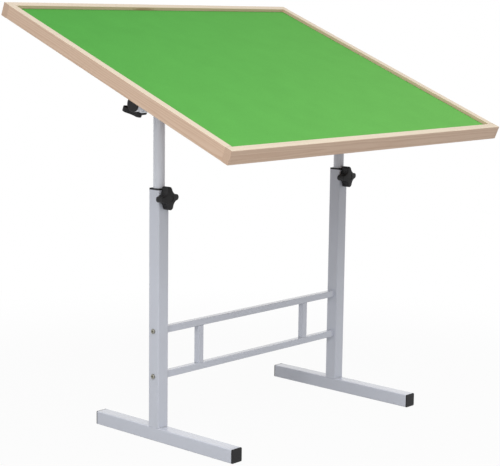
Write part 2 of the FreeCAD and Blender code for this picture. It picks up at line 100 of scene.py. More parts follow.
# The felt's long waves: how far each turns across the board and up it, and where it starts, in radians
FELT_WAVES = ((19, 5, 0), (-7, 14, 1))

# Each lamp's place, the point that it faces and its width, in metres
LAMPS = {
    "key": ((0.5, -1.3, 2.2), (0, 0, 0.6), 1.4),
    "high": ((-1.7, -1.4, 2.6), (0, 0, 0.3), 1.4),
    "low": ((-2.7, -1.4, 1.5), (0, 0, 0.4), 1.0),
}

# The darkest and palest grey of the floor where light falls on it
FLOOR_DARK = 0.48
FLOOR_PALE = 0.52

# Share of plain white in the floor round the table, how far it reaches and where all is white, in metres
WHITE_NEAR_SHARE = 0.95
WHITE_NEAR = 0.7
WHITE_FAR = 1.6

# The camera's sensor in millimetres, and how far the camera sees in metres
SENSOR_WIDTH = 36
CLIP_END = 200


def linear(code):
    """Linear red, green and blue of an sRGB hex colour."""
    shares = [int(code[i:i + 2], 16) / 255 for i in (1, 3, 5)]
    return [c / 12.92 if c <= 0.04045 else ((c + 0.055) / 1.055) ** 2.4 for c in shares]


def shade(colour, share=1):
    """A linear colour made darker or paler by a share, for a node's colour input."""
    return (*[c * share for c in colour], 1)


# What a user may change

def colour_property(name, description, code):
    """A colour, given as an sRGB hex value."""
    return bpy.props.FloatVectorProperty(name=name, description=description, subtype="COLOR", size=3, min=0,
                                         max=1, default=linear(code))


def length_property(name, description, millimetres):
    """A length."""
    return bpy.props.FloatProperty(name=name, description=description, subtype="DISTANCE", unit="LENGTH",
                                   min=0, default=millimetres * MM, precision=5)


def angle_property(name, description, degrees):
    """An angle."""
    return bpy.props.FloatProperty(name=name, description=description, subtype="ANGLE",
                                   default=math.radians(degrees))


def power_property(name, description, watts):
    """The power of a lamp."""
    return bpy.props.FloatProperty(name=name, description=description, unit="POWER", min=0, default=watts)


def share_property(name, description, share):
    """A share between 0 and 1."""
    return bpy.props.FloatProperty(name=name, description=description, subtype="FACTOR", min=0, max=1,
                                   default=share)


class JigsawTableColours(bpy.types.PropertyGroup):
    """Colours of the finishes."""
    steel: colour_property("Steel coat", "Powder coat on the legs", "#D2D6E1")
    # Painted light: the tubes' paler copy of the coat makes up for the board's shade over them.
    tubes: colour_property("Tube coat", "Paler coat on the sliding tubes and the cross tube", "#E6EAF3")
    nylon: colour_property("Nylon", "Knobs, caps and bushings", "#1B1B1D")
    zinc: colour_property("Zinc", "Clamps, screws and studs", "#C4C7CB")
    # Painted shade: the brace's bolts are coloured darker, standing in for the shade in their recessed
    # sockets.
    bolts: colour_property("Bolts", "Olive zinc on the brace's bolts", "#9C9A90")
    pine_early: colour_property("Pine, early wood", "Pale part of each growth ring", "#DFC4AD")
    pine_late: colour_property("Pine, late wood", "Dark part of each growth ring", "#CCAB91")
    # Painted highlight: the rails' top faces are painted paler where the overhead light falls on them.
    pine_lit_top: colour_property("Pine, sanded", "Upper edges of the rails", "#D2CBB6")
    hardboard: colour_property("Hardboard", "Panel under the felt", "#8A6546")
    # The felt runs from the first colour at the far left to the paler second at the near right; the paling
    # is painted light and sheen.
    felt: colour_property("Felt", "Fresh felt, at the far left", "#4E9E43")
    felt_lit: colour_property("Felt, rubbed", "Felt paled by hands, at the near right", "#67AE53")


class JigsawTableFelt(bpy.types.PropertyGroup):
    """Sizes of the felt sheet's mesh."""
    step: length_property("Mesh step", "Spacing of the sheet's mesh", 6.0)
    wave: length_property("Unevenness", "How far the glued sheet dips below its highest places", 0.15)
    edge: length_property("Edge drop", "How far the cut edge falls away", 0.4)


class JigsawTableWelds(bpy.types.PropertyGroup):
    """Sizes of the weld beads."""
    bead: length_property("Bead radius", "Radius of a weld bead", 1.8)
    ripple: length_property("Ripple spacing", "Distance between the ripples of a bead", 1.6)
    ripple_depth: share_property("Ripple depth", "Height of a ripple as a share of the radius", 0.12)
    step: length_property("Bead step", "Spacing of the rings along a bead", 0.4)


class JigsawTableFasteners(bpy.types.PropertyGroup):
    """Sizes of the threads and the clamp screws."""
    pitch: length_property("Thread pitch", "Pitch of the studs' M8 thread", 1.25)
    thread_depth: length_property("Thread depth", "Depth of the studs' thread", 0.65)
    chamfer: length_property("Stud chamfer", "Length over which the thread runs out at each end", 1.0)
    head: length_property("Screw head", "Diameter of a clamp screw's head", 8.0)
    head_height: length_property("Screw head height", "Height of a clamp screw's countersunk head", 2.2)
    shank: length_property("Screw shank", "Diameter of a clamp screw's shank", 3.6)
    length: length_property("Screw length", "Length of a clamp screw", 14.0)
    inset: length_property("Screw inset", "Distance of the screws from the clamp plate's edges", 8.0)
    recess: length_property("Recess length", "Length of the cross recess across the head", 4.4)
    recess_width: length_property("Recess width", "Width of the cross recess", 0.9)
    recess_depth: length_property("Recess depth", "Depth of the cross recess", 1.4)


class JigsawTableStage(bpy.types.PropertyGroup):
    """Camera, lamps and floor."""
    lens: bpy.props.FloatProperty(name="Lens", description="Focal length in millimetres",
                                  subtype="DISTANCE_CAMERA", default=103.76)
    camera_place: bpy.props.FloatVectorProperty(name="Camera place", description="Where the camera stands",
                                                subtype="XYZ", unit="LENGTH", size=3,
                                                default=(-2.41155, -2.15793, 0.92008))
    camera_heading: angle_property("Heading", "Turn to the right from looking straight back", 47.865)
    camera_pitch: angle_property("Pitch", "How far the camera looks up", -8.749)
    camera_roll: angle_property("Roll", "Anticlockwise roll of the camera", 0.756)
    key_power: power_property("Key lamp", "Power of the soft lamp above the front", 11.0)
    high_power: power_property("High lamp", "Power of the soft lamp high at the front left", 27.0)
    low_power: power_property("Low lamp", "Power of the soft lamp lower at the left", 15.5)
    zenith: share_property("Light overhead", "Strength of the surrounding light overhead", 0.95)
    horizon: share_property("Light at the horizon", "Strength of the surrounding light there", 0.2)
    floor: length_property("Floor size", "Width of the floor", 60000.0)


SETTINGS = {
    "colours": JigsawTableColours,
    "felt": JigsawTableFelt,
    "welds": JigsawTableWelds,
    "fasteners": JigsawTableFasteners,
    "stage": JigsawTableStage,
}


def settings(context, group):
    """The scene's settings of one group."""
    return getattr(context.scene, "jigsaw_table_" + group)


# Nodes, objects and boxes

def add_node(tree, kind, inputs=None, **options):
    """A new node with its options set, and its inputs linked to sockets or set to values."""
    node = tree.nodes.new(kind)
    for name, value in options.items():
        setattr(node, name, value)
    for key, value in (inputs or {}).items():
        if isinstance(value, bpy.types.NodeSocket):
            tree.links.new(value, node.inputs[key])
        else:
            node.inputs[key].default_value = value
    return node


def new_material(name):
    """An empty material, its node tree and the Object coordinates that its patterns follow."""
    material = bpy.data.materials.new(name)
    material.use_nodes = True
    tree = material.node_tree
    tree.nodes.clear()
    return material, tree, add_node(tree, "ShaderNodeTexCoord").outputs["Object"]


def finish_material(tree, skin, height, strength, depth):
    """Ends a material with its skin, embossed with a pattern of the given height."""
    bump = add_node(tree, "ShaderNodeBump", {"Height": height, "Strength": strength, "Distance": depth})
    surface = add_node(tree, "ShaderNodeBsdfPrincipled", {**skin, "Normal": bump.outputs["Normal"]})
    add_node(tree, "ShaderNodeOutputMaterial", {"Surface": surface.outputs["BSDF"]})


def new_object(name, data):
    """A new object in the scene, with a mesh, a lamp or a camera."""
    piece = bpy.data.objects.new(name, data)
    bpy.context.scene.collection.objects.link(piece)
    return piece


def new_geometry_tree(name, sizes):
    """A geometry node tree with named inputs for its sizes, and its input node."""
    tree = bpy.data.node_groups.new(name, "GeometryNodeTree")
    tree.interface.new_socket("Geometry", in_out="OUTPUT", socket_type="NodeSocketGeometry")
    tree.interface.new_socket("Geometry", in_out="INPUT", socket_type="NodeSocketGeometry")
    for size in sizes:
        tree.interface.new_socket(size, in_out="INPUT", socket_type="NodeSocketFloat")
    tree.interface.new_socket("Material", in_out="INPUT", socket_type="NodeSocketMaterial")
    return tree, add_node(tree, "NodeGroupInput").outputs


def finish_geometry_tree(tree, given, geometry):
    """Ends a tree with smooth, realized geometry in the given material."""
    smooth = add_node(tree, "GeometryNodeSetShadeSmooth", {"Geometry": geometry})
    realized = add_node(tree, "GeometryNodeRealizeInstances", {"Geometry": smooth.outputs["Geometry"]})
    painted = add_node(tree, "GeometryNodeSetMaterial",
                       {"Geometry": realized.outputs["Geometry"], "Material": given["Material"]})
    add_node(tree, "NodeGroupOutput", {"Geometry": painted.outputs["Geometry"]})


def grown_piece(name, points, edges, tree, sizes, material):
    """A piece that a geometry node tree makes from points and edges, as a plain mesh."""
    start = bpy.data.meshes.new(name + "_path")
    start.from_pydata(points, edges, [])
    piece = new_object(name, start)
    modifier = piece.modifiers.new(tree.name, "NODES")
    modifier.node_group = tree
    for socket in tree.interface.items_tree:
        if socket.in_out == "INPUT" and socket.name in sizes:
            modifier[socket.identifier] = sizes[socket.name]
        if socket.in_out == "INPUT" and socket.name == "Material":
            modifier[socket.identifier] = material
    bpy.context.view_layer.update()
    grown = piece.evaluated_get(bpy.context.evaluated_depsgraph_get())
    mesh = bpy.data.meshes.new_from_object(grown)
    piece.modifiers.clear()
    piece.data = mesh
    mesh.name = name
    bpy.data.meshes.remove(start)
    return piece


def board_box(node):
    """Lowest and highest corner of a node in the board's own axes."""
    to_board = BOARD.inverted()
    corners = [to_board @ vertex.co for vertex in frame["nodes"][node].data.vertices]
    low = Vector([min(corner[i] for corner in corners) for i in range(3)])
    high = Vector([max(corner[i] for corner in corners) for i in range(3)])
    return low, high


def dress(names, material):
    """Gives a material to carried-over pieces."""
    for name in names:
        for slot in frame["nodes"][name].material_slots:
            slot.material = material


# Materials
# A colour Mix node takes its share at input 0 and its colours at 6 and 7, and gives the colour at output 2.

def powder_coated_steel(name, coat):
    """Powder-coated steel tube, baked: a smooth silver-grey skin with shallow orange peel."""
    material, tree, place = new_material(name)
    # Real peel is about 1.5 mm across, and is drawn at 3 mm so that it shows.
    peel_width = 3 * MM
    cloud_width = 70 * MM
    peel = add_node(tree, "ShaderNodeTexNoise", {"Vector": place, "Scale": 1 / peel_width, "Detail": 2.0})
    cloud = add_node(tree, "ShaderNodeTexNoise", {"Vector": place, "Scale": 1 / cloud_width, "Detail": 3.0})
    colour = add_node(tree, "ShaderNodeMix", {0: cloud.outputs["Fac"], 6: shade(coat, 0.94), 7: shade(coat)},
                      data_type="RGBA")
    rough = add_node(tree, "ShaderNodeMapRange",
                     {"Value": peel.outputs["Fac"], "To Min": 0.14, "To Max": 0.22})
    skin = {"Base Color": colour.outputs[2], "Roughness": rough.outputs["Result"], "Coat Weight": 1.0,
            "Coat Roughness": 0.08, "Coat IOR": 1.3}
    finish_material(tree, skin, height=peel.outputs["Fac"], strength=0.05, depth=0.1 * MM)
    return material


def moulded_nylon(colours):
    """Black nylon, moulded in a spark-eroded tool: a fine even grain that breaks up the gloss."""
    material, tree, place = new_material("moulded_nylon")
    # The tool's grain is about 0.3 mm, and is drawn at 0.9 mm so that it shows.
    grain_width = 0.9 * MM
    flow_width = 14 * MM
    grain = add_node(tree, "ShaderNodeTexNoise",
                     {"Vector": place, "Scale": 1 / grain_width, "Detail": 3.0, "Roughness": 0.6})
    flow = add_node(tree, "ShaderNodeTexNoise", {"Vector": place, "Scale": 1 / flow_width, "Detail": 2.0})
    colour = add_node(tree, "ShaderNodeMix",
                      {0: flow.outputs["Fac"], 6: shade(colours.nylon), 7: shade(colours.nylon, 1.35)},
                      data_type="RGBA")
    rough = add_node(tree, "ShaderNodeMapRange",
                     {"Value": grain.outputs["Fac"], "To Min": 0.42, "To Max": 0.58})
    skin = {"Base Color": colour.outputs[2], "Roughness": rough.outputs["Result"],
            "Specular IOR Level": 0.28}
    finish_material(tree, skin, height=grain.outputs["Fac"], strength=0.2, depth=0.1 * MM)
    return material


def zinc_plated_steel(name, zinc):
    """Zinc-plated steel: a thin plating over rolled steel, faintly cloudy and scratched. The bolts' darker
    copy is painted shade for their recessed sockets.
    """
    material, tree, place = new_material(name)
    cloud_width = 6 * MM
    scratch_length = 5 * MM
    scratch_stretch = (1.0, 12.0, 12.0)
    cloud = add_node(tree, "ShaderNodeTexNoise", {"Vector": place, "Scale": 1 / cloud_width, "Detail": 4.0})
    stretch = add_node(tree, "ShaderNodeMapping", {"Vector": place, "Scale": scratch_stretch})
    scratch = add_node(tree, "ShaderNodeTexNoise",
                       {"Vector": stretch.outputs["Vector"], "Scale": 1 / scratch_length, "Detail": 3.0})
    colour = add_node(tree, "ShaderNodeMix", {0: cloud.outputs["Fac"], 6: shade(zinc, 0.86), 7: shade(zinc)},
                      data_type="RGBA")
    rough = add_node(tree, "ShaderNodeMapRange",
                     {"Value": scratch.outputs["Fac"], "To Min": 0.24, "To Max": 0.42})
    skin = {"Base Color": colour.outputs[2], "Roughness": rough.outputs["Result"], "Metallic": 1.0}
    finish_material(tree, skin, height=scratch.outputs["Fac"], strength=0.06, depth=0.05 * MM)
    return material


def planed_pine(name, turn, ends, top, pith, knots, colours):
    """Planed pine under a thin satin lacquer: growth rings about 3 mm apart that run along the piece, fine
    fibres between them, and here and there a knot. The sawn ends drink more lacquer and are darker, and the
    top face is painted paler, a painted highlight where the overhead light falls on it. The grain lies along
    the board's X, turned by the angle."""
    ring_width = 3.2 * MM
    ring_stretch = (0.06, 1.0, 1.0)
    wander_width = 22 * MM
    wander_reach = 11 * MM
    knot_reach = 7 * MM
    fibre_width = 1.1 * MM
    fibre_stretch = (0.03, 1.0, 1.0)
    tone_width = 45 * MM
    # An end counts as sawn, and the top as lit, to the first depth, and either counts as planed below the
    # second.
    skin_start = 0.3 * MM
    skin_end = 0.5 * MM
    material, tree, place = new_material(name)
    grain_axes = Matrix.Rotation(turn, 4, "Z") @ BOARD.inverted()
    grain = add_node(tree, "ShaderNodeMapping",
                     {"Vector": place, "Rotation": grain_axes.to_euler("XYZ"),
                      "Location": grain_axes.to_translation()}).outputs["Vector"]
    # The tree's middle lies beside the piece, and the rings wander slowly along it.
    from_pith = add_node(tree, "ShaderNodeVectorMath", {0: grain, 1: pith},
                         operation="SUBTRACT").outputs["Vector"]
    drawn_out = add_node(tree, "ShaderNodeMapping",
                         {"Vector": from_pith, "Scale": ring_stretch}).outputs["Vector"]
    wander = add_node(tree, "ShaderNodeTexNoise",
                      {"Vector": drawn_out, "Scale": 1 / wander_width, "Detail": 2.0})
    split = add_node(tree, "ShaderNodeSeparateXYZ", {"Vector": from_pith})
    flat = add_node(tree, "ShaderNodeCombineXYZ", {"Y": split.outputs["Y"], "Z": split.outputs["Z"]})
    radius = add_node(tree, "ShaderNodeVectorMath", {0: flat.outputs["Vector"]}, operation="LENGTH")
    shift = add_node(tree, "ShaderNodeMath",
                     {0: wander.outputs["Fac"], 1: wander_reach, 2: radius.outputs["Value"]},
                     operation="MULTIPLY_ADD")
    cores = []
    for place_on_piece, size in knots:
        from_knot = add_node(tree, "ShaderNodeVectorMath", {0: grain, 1: place_on_piece},
                             operation="SUBTRACT")
        round_knot = add_node(tree, "ShaderNodeVectorMath",
                              {0: from_knot.outputs["Vector"], 1: [1 / s for s in size]},
                              operation="MULTIPLY")
        reach = add_node(tree, "ShaderNodeVectorMath", {0: round_knot.outputs["Vector"]},
                         operation="LENGTH")
        core = add_node(tree, "ShaderNodeMapRange",
                        {"Value": reach.outputs["Value"], "From Min": 1.0, "From Max": 0.35},
                        interpolation_type="SMOOTHSTEP")
        # The rings bend round the knot.
        shift = add_node(tree, "ShaderNodeMath",
                         {0: core.outputs["Result"], 1: knot_reach, 2: shift.outputs["Value"]},
                         operation="MULTIPLY_ADD")
        cores.append(core.outputs["Result"])
    rings = add_node(tree, "ShaderNodeMath", {0: shift.outputs["Value"], 1: 1 / ring_width},
                     operation="MULTIPLY")
    ring = add_node(tree, "ShaderNodeMath", {0: rings.outputs["Value"]}, operation="FRACT")
    # Each ring darkens slowly over the summer and ends sharply.
    late = add_node(tree, "ShaderNodeValToRGB", {"Fac": ring.outputs["Value"]})
    late.color_ramp.elements[0].position = 0.25
    late.color_ramp.elements[0].color = (0, 0, 0, 1)
    late.color_ramp.elements[1].position = 0.86
    late.color_ramp.elements[1].color = (0.8, 0.8, 0.8, 1)
    end = late.color_ramp.elements.new(0.97)
    end.color = (0, 0, 0, 1)
    fibre_axes = add_node(tree, "ShaderNodeMapping",
                          {"Vector": grain, "Scale": fibre_stretch}).outputs["Vector"]
    fibres = add_node(tree, "ShaderNodeTexNoise",
                      {"Vector": fibre_axes, "Scale": 1 / fibre_width, "Detail": 4.0, "Roughness": 0.6})
    broad = add_node(tree, "ShaderNodeTexNoise",
                     {"Vector": drawn_out, "Scale": 1 / tone_width, "Detail": 2.0})
    darkness = add_node(tree, "ShaderNodeMath", {0: fibres.outputs["Fac"], 1: 0.5, 2: late.outputs["Color"]},
                        operation="MULTIPLY_ADD")
    darker = add_node(tree, "ShaderNodeMath",
                      {0: broad.outputs["Fac"], 1: 0.5, 2: darkness.outputs["Value"]},
                      operation="MULTIPLY_ADD")
    share = add_node(tree, "ShaderNodeMapRange",
                     {"Value": darker.outputs["Value"], "From Min": 0.2, "From Max": 1.5})
    wood = add_node(tree, "ShaderNodeMix",
                    {0: share.outputs["Result"], 6: shade(colours.pine_early), 7: shade(colours.pine_late)},
                    data_type="RGBA").outputs[2]
    # The end grain is the last half millimetre at either end of the piece.
    spot = add_node(tree, "ShaderNodeSeparateXYZ", {"Vector": grain})
    off_middle = add_node(tree, "ShaderNodeMath", {0: spot.outputs["X"], 1: (ends[0] + ends[1]) / 2},
                          operation="SUBTRACT")
    reach = add_node(tree, "ShaderNodeMath", {0: off_middle.outputs["Value"]}, operation="ABSOLUTE")
    half_length = (ends[1] - ends[0]) / 2
    sawn = add_node(tree, "ShaderNodeMapRange",
                    {"Value": reach.outputs["Value"], "From Min": half_length - skin_end,
                     "From Max": half_length - skin_start, "To Max": 0.3})
    wood = add_node(tree, "ShaderNodeMix",
                    {0: sawn.outputs["Result"], 6: wood, 7: shade(colours.pine_late, 0.72)},
                    data_type="RGBA").outputs[2]
    # The painted highlight on the rail's top face covers the topmost half millimetre.
    lit_top = add_node(tree, "ShaderNodeMapRange",
                      {"Value": spot.outputs["Z"], "From Min": top - skin_end, "From Max": top - skin_start,
                       "To Max": 0.6})
    wood = add_node(tree, "ShaderNodeMix",
                    {0: lit_top.outputs["Result"], 6: wood, 7: shade(colours.pine_lit_top)},
                    data_type="RGBA").outputs[2]
    knot_brown = [c * part for c, part in zip(colours.pine_late, (0.62, 0.46, 0.34))]
    for core in cores:
        amount = add_node(tree, "ShaderNodeMath", {0: core, 1: 0.6}, operation="MULTIPLY")
        wood = add_node(tree, "ShaderNodeMix", {0: amount.outputs["Value"], 6: wood, 7: shade(knot_brown)},
                        data_type="RGBA").outputs[2]
    rough = add_node(tree, "ShaderNodeMapRange",
                     {"Value": fibres.outputs["Fac"], "To Min": 0.42, "To Max": 0.6})
    skin = {"Base Color": wood, "Roughness": rough.outputs["Result"]}
    finish_material(tree, skin, height=share.outputs["Result"], strength=0.15, depth=0.15 * MM)
    return material


def pressed_hardboard(colours):
    """Hardboard, hot-pressed on a wire screen: matt brown, flecked with fibre and marked by the mesh."""
    material, tree, place = new_material("pressed_hardboard")
    board = add_node(tree, "ShaderNodeMapping",
                     {"Vector": place, "Rotation": (-TILT, 0, 0)}).outputs["Vector"]
    # The screen's wires are 2 mm apart, and are drawn at 4 mm so that they show.
    wire_spacing = 4 * MM
    fleck_width = 3 * MM
    # How far apart the bands of a wave texture lie at a scale of 1
    wave_spacing = 0.314
    weave = {"Vector": board, "Scale": wave_spacing / wire_spacing}
    warp = add_node(tree, "ShaderNodeTexWave", weave, bands_direction="X")
    weft = add_node(tree, "ShaderNodeTexWave", weave, bands_direction="Y")
    mesh = add_node(tree, "ShaderNodeMath", {0: warp.outputs["Fac"], 1: weft.outputs["Fac"]},
                    operation="MAXIMUM")
    flecks = add_node(tree, "ShaderNodeTexNoise",
                      {"Vector": board, "Scale": 1 / fleck_width, "Detail": 5.0, "Roughness": 0.7})
    colour = add_node(tree, "ShaderNodeMix",
                      {0: flecks.outputs["Fac"], 6: shade(colours.hardboard, 0.6),
                       7: shade(colours.hardboard)}, data_type="RGBA")
    skin = {"Base Color": colour.outputs[2], "Roughness": 0.8}
    finish_material(tree, skin, height=mesh.outputs["Value"], strength=0.4, depth=0.3 * MM)
    return material


def needle_felt(colours):
    """Green needle-punched polyester felt: matted fibres that scatter the light, soft at grazing angles.
    Its colour is painted paler towards the near right, as painted light and sheen that fall there."""
    material, tree, place = new_material("needle_felt")
    # Fibres are finer than 0.05 mm, and their tufts are drawn at 2.5 mm so that they show.
    tuft_width = 2.5 * MM
    drift_width = 60 * MM
    # The painted light grows over this many metres either way from the tilt axis, in this direction of the
    # board.
    light_reach = 0.5
    light_direction = (0.6, -0.8, 0)
    tufts = add_node(tree, "ShaderNodeTexNoise",
                     {"Vector": place, "Scale": 1 / tuft_width, "Detail": 5.0, "Roughness": 0.7,
                      "Distortion": 1.2})
    drift = add_node(tree, "ShaderNodeTexNoise", {"Vector": place, "Scale": 1 / drift_width, "Detail": 3.0})
    mixed = add_node(tree, "ShaderNodeMath", {0: drift.outputs["Fac"], 1: 0.4, 2: tufts.outputs["Fac"]},
                     operation="MULTIPLY_ADD")
    share = add_node(tree, "ShaderNodeMapRange",
                     {"Value": mixed.outputs["Value"], "From Min": 0.3, "From Max": 1.1})
    board_axes = BOARD.inverted()
    board = add_node(tree, "ShaderNodeMapping",
                     {"Vector": place, "Rotation": board_axes.to_euler("XYZ"),
                      "Location": board_axes.to_translation()}).outputs["Vector"]
    # Painted light: the colour pales towards the near right, standing in for light and sheen that fall
    # there.
    near_right = add_node(tree, "ShaderNodeVectorMath", {0: board, 1: light_direction},
                          operation="DOT_PRODUCT")
    lit = add_node(tree, "ShaderNodeMapRange",
                      {"Value": near_right.outputs["Value"], "From Min": -light_reach, "From Max": light_reach})
    felt = add_node(tree, "ShaderNodeMix",
                    {0: lit.outputs["Result"], 6: shade(colours.felt), 7: shade(colours.felt_lit)},
                    data_type="RGBA")
    tuft = add_node(tree, "ShaderNodeMapRange",
                    {"Value": share.outputs["Result"], "To Min": 0.84, "To Max": 1.1})
    colour = add_node(tree, "ShaderNodeVectorMath", {0: felt.outputs[2], "Scale": tuft.outputs["Result"]},
                      operation="SCALE")
    skin = {"Base Color": colour.outputs["Vector"], "Roughness": 0.92, "Specular IOR Level": 0.15,
            "Sheen Weight": 0.12, "Sheen Roughness": 0.5, "Sheen Tint": shade(colours.felt_lit)}
    finish_material(tree, skin, height=tufts.outputs["Fac"], strength=0.35, depth=0.4 * MM)
    return material


# Pieces

class JigsawTableFinishMetal(bpy.types.Operator):
    """Coats the tubes and finishes the nylon and plated pieces"""
    bl_idname = "jigsaw_table.finish_metal"
    bl_label = "Finish Metal and Nylon"

    def execute(self, context):
        colours = settings(context, "colours")
        dress(STEEL_NODES, powder_coated_steel("powder_coated_steel", colours.steel))
        dress(TUBE_NODES, powder_coated_steel("pale_powder_coated_steel", colours.tubes))
        dress(NYLON_NODES, moulded_nylon(colours))
        dress(ZINC_NODES, zinc_plated_steel("zinc_plated_steel", colours.zinc))
        # The brace's bolts get a darker copy of the plating, painted shade for their recessed sockets.
        dress(["brace_bolts"], zinc_plated_steel("olive_zinc_plated_steel", colours.bolts))
        return {"FINISHED"}


class JigsawTableFinishTimber(bpy.types.Operator):
    """Gives each rail its own run of pine grain, and the panel its pressed hardboard"""
    bl_idname = "jigsaw_table.finish_timber"
    bl_label = "Finish Timber"

    def execute(self, context):
        colours = settings(context, "colours")
        for index, name in enumerate(LONG_GRAIN_NODES + CROSS_GRAIN_NODES):
            turn = 0 if name in LONG_GRAIN_NODES else QUARTER_TURN
            low, high = board_box(name)
            along = Matrix.Rotation(turn, 4, "Z")
            middle = along @ ((low + high) / 2)
            aside = (-1) ** index * (PITH_ASIDE + PITH_ASIDE_STEP * index)
            pith = middle + Vector((0, aside, -(PITH_BELOW + PITH_BELOW_STEP * index)))
            ends = sorted(((along @ low).x, (along @ high).x))
            knots = []
            if name == "front_rail":
                pith = middle + FRONT_RAIL_PITH
            if name == "back_rail":
                knots.append((middle + KNOT_PLACE, KNOT_SIZE))
            dress([name], planed_pine("planed_pine_" + name, turn, ends, high.z, pith, knots, colours))
        dress(["base_panel"], pressed_hardboard(colours))
        return {"FINISHED"}


class JigsawTableLayFelt(bpy.types.Operator):
    """Lays the felt sheet in the tray, slightly uneven where it is glued, with a soft cut edge"""
    bl_idname = "jigsaw_table.lay_felt"
    bl_label = "Lay Felt"

    def execute(self, context):
        size = settings(context, "felt")
        low, high = board_box("felt_sheet")
        width = high.x - low.x
        depth = high.y - low.y
        columns = round(width / size.step)
        rows = round(depth / size.step)
        shape = bmesh.new()
        bmesh.ops.create_grid(shape, x_segments=columns, y_segments=rows, size=0.5)
        middle = (low + high) / 2
        # The grid runs from -0.5 to 0.5 both ways.
        near_edge = 0.499
        for vertex in shape.verts:
            across = vertex.co.x
            up = vertex.co.y
            # The waves cross each other, and the dip stays between 0 and 1.
            waves = [math.sin(a * across + b * up + start) for a, b, start in FELT_WAVES]
            dip = 0.5 + 0.5 * sum(waves) / len(waves)
            at_edge = max(abs(across), abs(up)) > near_edge
            drop = size.edge if at_edge else size.wave * dip
            vertex.co = (middle.x + across * width, middle.y + up * depth, high.z - drop)
        border = [edge for edge in shape.edges if edge.is_boundary]
        grown = bmesh.ops.extrude_edge_only(shape, edges=border)["geom"]
        for vertex in grown:
            if isinstance(vertex, bmesh.types.BMVert):
                vertex.co.z = low.z
        bmesh.ops.contextual_create(shape, geom=[edge for edge in shape.edges if edge.is_boundary])
        bmesh.ops.recalc_face_normals(shape, faces=shape.faces)
        for face in shape.faces:
            face.smooth = len(face.verts) == 4
        shape.transform(BOARD)
        mesh = bpy.data.meshes.new("felt")
        shape.to_mesh(mesh)
        shape.free()
        mesh.materials.append(needle_felt(settings(context, "colours")))
        felt = new_object("felt", mesh)
        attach(felt, "board")
        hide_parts("felt_sheet")
        return {"FINISHED"}


def weld_bead_tree():
    """A rippled bead along each edge path, drawn in at the ends of open paths."""
    ring_points = 12
    least_swell = 0.05
    bluntness = 0.3
    tree, given = new_geometry_tree("weld_bead", ("Bead Radius", "Ripple Spacing", "Ripple Depth", "Step"))
    path = add_node(tree, "GeometryNodeMeshToCurve", {"Mesh": given["Geometry"]})
    even = add_node(tree, "GeometryNodeResampleCurve",
                    {"Curve": path.outputs["Curve"], "Length": given["Step"]}, mode="LENGTH")
    along = add_node(tree, "GeometryNodeSplineParameter")
    turns = add_node(tree, "ShaderNodeMath", {0: along.outputs["Length"], 1: given["Ripple Spacing"]},
                     operation="DIVIDE")
    angle = add_node(tree, "ShaderNodeMath", {0: turns.outputs["Value"], 1: 2 * math.pi},
                     operation="MULTIPLY")
    wave = add_node(tree, "ShaderNodeMath", {0: angle.outputs["Value"]}, operation="SINE")
    ripple = add_node(tree, "ShaderNodeMath", {0: wave.outputs["Value"], 1: given["Ripple Depth"], 2: 1.0},
                      operation="MULTIPLY_ADD")
    half_turn = add_node(tree, "ShaderNodeMath", {0: along.outputs["Factor"], 1: math.pi},
                         operation="MULTIPLY")
    swell = add_node(tree, "ShaderNodeMath", {0: half_turn.outputs["Value"]}, operation="SINE")
    open_end = add_node(tree, "ShaderNodeMath", {0: swell.outputs["Value"], 1: least_swell},
                        operation="MAXIMUM")
    drawn_in = add_node(tree, "ShaderNodeMath", {0: open_end.outputs["Value"], 1: bluntness},
                        operation="POWER")
    closed = add_node(tree, "GeometryNodeInputSplineCyclic")
    taper = add_node(tree, "GeometryNodeSwitch",
                     {"Switch": closed.outputs["Cyclic"], "False": drawn_in.outputs["Value"], "True": 1.0},
                     input_type="FLOAT")
    shaped = add_node(tree, "ShaderNodeMath", {0: ripple.outputs["Value"], 1: taper.outputs["Output"]},
                      operation="MULTIPLY")
    radius = add_node(tree, "ShaderNodeMath", {0: shaped.outputs["Value"], 1: given["Bead Radius"]},
                      operation="MULTIPLY")
    ring = add_node(tree, "GeometryNodeCurvePrimitiveCircle", {"Resolution": ring_points, "Radius": 1.0})
    bead = add_node(tree, "GeometryNodeCurveToMesh",
                    {"Curve": even.outputs["Curve"], "Profile Curve": ring.outputs["Curve"],
                     "Scale": radius.outputs["Value"], "Fill Caps": True})
    finish_geometry_tree(tree, given, bead.outputs["Mesh"])
    return tree


def straight_path(points, edges, start, end):
    """Adds one straight weld path."""
    edges.append((len(points), len(points) + 1))
    points += [start, end]


